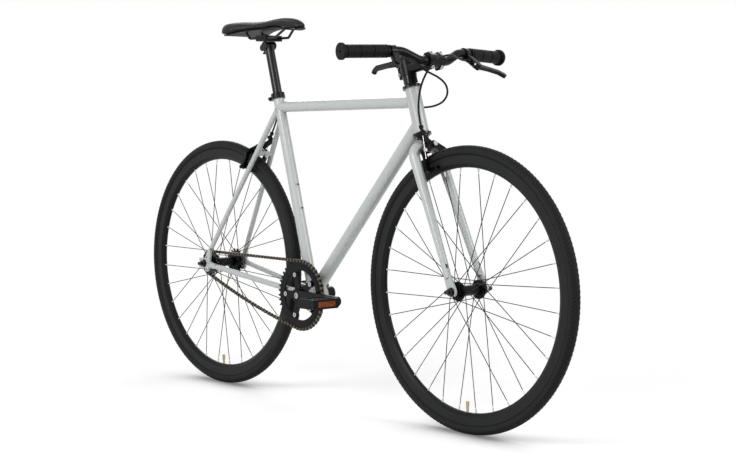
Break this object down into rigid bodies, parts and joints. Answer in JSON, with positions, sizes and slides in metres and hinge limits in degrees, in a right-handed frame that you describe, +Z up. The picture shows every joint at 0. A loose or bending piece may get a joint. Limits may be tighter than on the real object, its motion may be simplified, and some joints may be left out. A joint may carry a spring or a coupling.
{
  "type": "fixed gear bicycle",
  "caption": "Diamond-frame fixed gear bicycle with deep rims, crossed spokes, riser bar with grips and levers, side-pull rim brakes, platform pedals and slim saddle.",
  "frame": {"origin": "on the floor, midway between the two axles", "axes": "+X towards the front wheel, +Y to the rider's left, +Z up"},
  "size_m": [1.6462, 0.5258, 1.0056],
  "materials": {
    "frame_paint": "gloss pale cool grey over steel tube",
    "chain_steel": "dark oiled bronze",
    "tyre_rubber": "matte charcoal",
    "inner_rubber": "matte",
    "black_alloy": "satin black anodised",
    "black_steel": "black finished",
    "bright_steel": "zinc plated",
    "black_plastic": "satin moulded",
    "amber_plastic": "clear amber reflector",
    "grip_rubber": "matte",
    "cable_plastic": "gloss black housing",
    "saddle_skin": "smooth satin synthetic"
  },
  "bodies": {
    "frame": {"dropouts": "frame_paint", "chainstays": "frame_paint", "seatstays": "frame_paint", "head_tube": "frame_paint", "bottom_bracket_shell": "frame_paint", "down_tube": "frame_paint", "seat_tube": "frame_paint", "top_tube": "frame_paint", "chain": "chain_steel", "rear_axle": "bright_steel", "bottom_bracket_cups": "black_alloy", "seat_collar": "black_alloy", "headset_cups": "black_alloy", "rear_brake_bolt": "black_steel", "rear_brake_cable": "cable_plastic"},
    "steering": {"fork_steerer": "frame_paint", "fork_blades": "frame_paint", "headset_spacers": "black_alloy", "stem": "black_alloy", "stem_faceplate": "black_alloy", "stem_bolts": "black_steel", "handlebar": "black_alloy", "grips": "grip_rubber", "lever_brackets": "black_alloy", "front_axle": "bright_steel", "front_brake_bolt": "black_steel", "front_brake_cable": "cable_plastic", "rear_cable_loop": "cable_plastic"},
    "front_wheel": {"front_tyre": "tyre_rubber", "front_inner_tube": "inner_rubber", "front_rim": "black_alloy", "front_spokes": "black_steel", "front_hub": "black_alloy"},
    "rear_wheel": {"rear_tyre": "tyre_rubber", "rear_inner_tube": "inner_rubber", "rear_rim": "black_alloy", "rear_spokes": "black_steel", "rear_hub": "black_alloy", "fixed_cog": "black_steel"},
    "freewheel": {"freewheel": "black_steel"},
    "crankset": {"chainring": "black_steel", "right_crank": "black_alloy", "left_crank": "black_alloy", "bottom_bracket_spindle": "bright_steel", "crankset_bolts": "bright_steel"},
    "right_pedal": {"right_pedal": "black_plastic", "right_pedal_reflectors": "amber_plastic"},
    "left_pedal": {"left_pedal": "black_plastic", "left_pedal_reflectors": "amber_plastic"},
    "right_brake_lever": {"right_brake_lever": "black_alloy"},
    "left_brake_lever": {"left_brake_lever": "black_alloy"},
    "front_brake_arm_right": {"front_brake_arm_right": "black_alloy"},
    "front_brake_arm_left": {"front_brake_arm_left": "black_alloy"},
    "rear_brake_arm_right": {"rear_brake_arm_right": "black_alloy"},
    "rear_brake_arm_left": {"rear_brake_arm_left": "black_alloy"},
    "seatpost": {"seatpost": "black_alloy"},
    "saddle_clamp": {"saddle_clamp": "black_alloy"},
    "saddle": {"saddle_cover": "saddle_skin", "saddle_base": "black_plastic", "saddle_rails": "black_steel"}
  },
  "joints": [
    {"name": "steering_turn", "type": "hinge", "parent": "frame", "child": "steering", "pos_m": [0.3062, 0, 0.75431], "axis": [-0.309, 0, 0.9511], "range_deg": [-60, 60], "deforming": ["rear_cable_loop"]},
    {"name": "front_wheel_spin", "type": "hinge", "parent": "steering", "child": "front_wheel", "pos_m": [0.48425, 0, 0.339], "axis": [0, 1, 0], "continuous": true},
    {"name": "rear_wheel_spin", "type": "hinge", "parent": "frame", "child": "rear_wheel", "pos_m": [-0.48425, 0, 0.339], "axis": [0, 1, 0], "continuous": true, "deforming": ["chain"]},
    {"name": "freewheel_spin", "type": "hinge", "parent": "rear_wheel", "child": "freewheel", "pos_m": [-0.48425, 0.043, 0.339], "axis": [0, 1, 0], "continuous": true},
    {"name": "crank_spin", "type": "hinge", "parent": "frame", "child": "crankset", "pos_m": [-0.08611, 0, 0.282], "axis": [0, 1, 0], "continuous": true},
    {"name": "right_pedal_spin", "type": "hinge", "parent": "crankset", "child": "right_pedal", "pos_m": [0.07889, -0.11, 0.282], "axis": [0, 1, 0], "continuous": true},
    {"name": "left_pedal_spin", "type": "hinge", "parent": "crankset", "child": "left_pedal", "pos_m": [-0.25111, 0.11, 0.282], "axis": [0, 1, 0], "continuous": true},
    {"name": "left_lever_pull", "type": "hinge", "parent": "steering", "child": "left_brake_lever", "pos_m": [0.3792, 0.13158, 0.86575], "axis": [0.6385, 0.1159, 0.7609], "range_deg": [0, 28], "stiffness_Nm_per_rad": 0.8, "springref_deg": -17.19, "deforming": ["front_brake_cable"]},
    {"name": "right_lever_pull", "type": "hinge", "parent": "steering", "child": "right_brake_lever", "pos_m": [0.3792, -0.13158, 0.86575], "axis": [-0.6385, 0.1159, -0.7609], "range_deg": [0, 28], "stiffness_Nm_per_rad": 0.8, "springref_deg": -17.19, "deforming": ["rear_brake_cable"]},
    {"name": "front_brake_right_close", "type": "hinge", "parent": "steering", "child": "front_brake_arm_right", "pos_m": [0.35843, 0, 0.6777], "axis": [0.9511, 0, 0.309], "range_deg": [0, 1.35]},
    {"name": "front_brake_left_close", "type": "hinge", "parent": "steering", "child": "front_brake_arm_left", "pos_m": [0.35843, 0, 0.6777], "axis": [-0.9511, 0, -0.309], "range_deg": [0, 1.35]},
    {"name": "rear_brake_left_close", "type": "hinge", "parent": "frame", "child": "rear_brake_arm_left", "pos_m": [-0.31922, 0, 0.65884], "axis": [-0.8532, 0, 0.5215], "range_deg": [0, 1.35]},
    {"name": "rear_brake_right_close", "type": "hinge", "parent": "frame", "child": "rear_brake_arm_right", "pos_m": [-0.31922, 0, 0.65884], "axis": [0.8532, 0, -0.5215], "range_deg": [0, 1.35]},
    {"name": "seatpost_height", "type": "slide", "parent": "frame", "child": "seatpost", "axis": [-0.279, 0, 0.9603], "range_m": [-0.05, 0.04]},
    {"name": "saddle_tilt", "type": "hinge", "parent": "seatpost", "child": "saddle_clamp", "pos_m": [-0.27526, 0, 0.93308], "axis": [0, 1, 0], "range_deg": [-8, 8]},
    {"name": "saddle_setback", "type": "slide", "parent": "saddle_clamp", "child": "saddle", "axis": [1, 0, 0], "range_m": [-0.02, 0.02]}
  ],
  "couplings": [
    {"joint": "crank_spin", "follows": "rear_wheel_spin", "ratio": 0.36364},
    {"joint": "front_brake_right_close", "follows": "left_lever_pull", "ratio": 0.0475},
    {"joint": "front_brake_left_close", "follows": "left_lever_pull", "ratio": 0.0475},
    {"joint": "rear_brake_left_close", "follows": "right_lever_pull", "ratio": 0.0475},
    {"joint": "rear_brake_right_close", "follows": "right_lever_pull", "ratio": 0.0475}
  ]
}
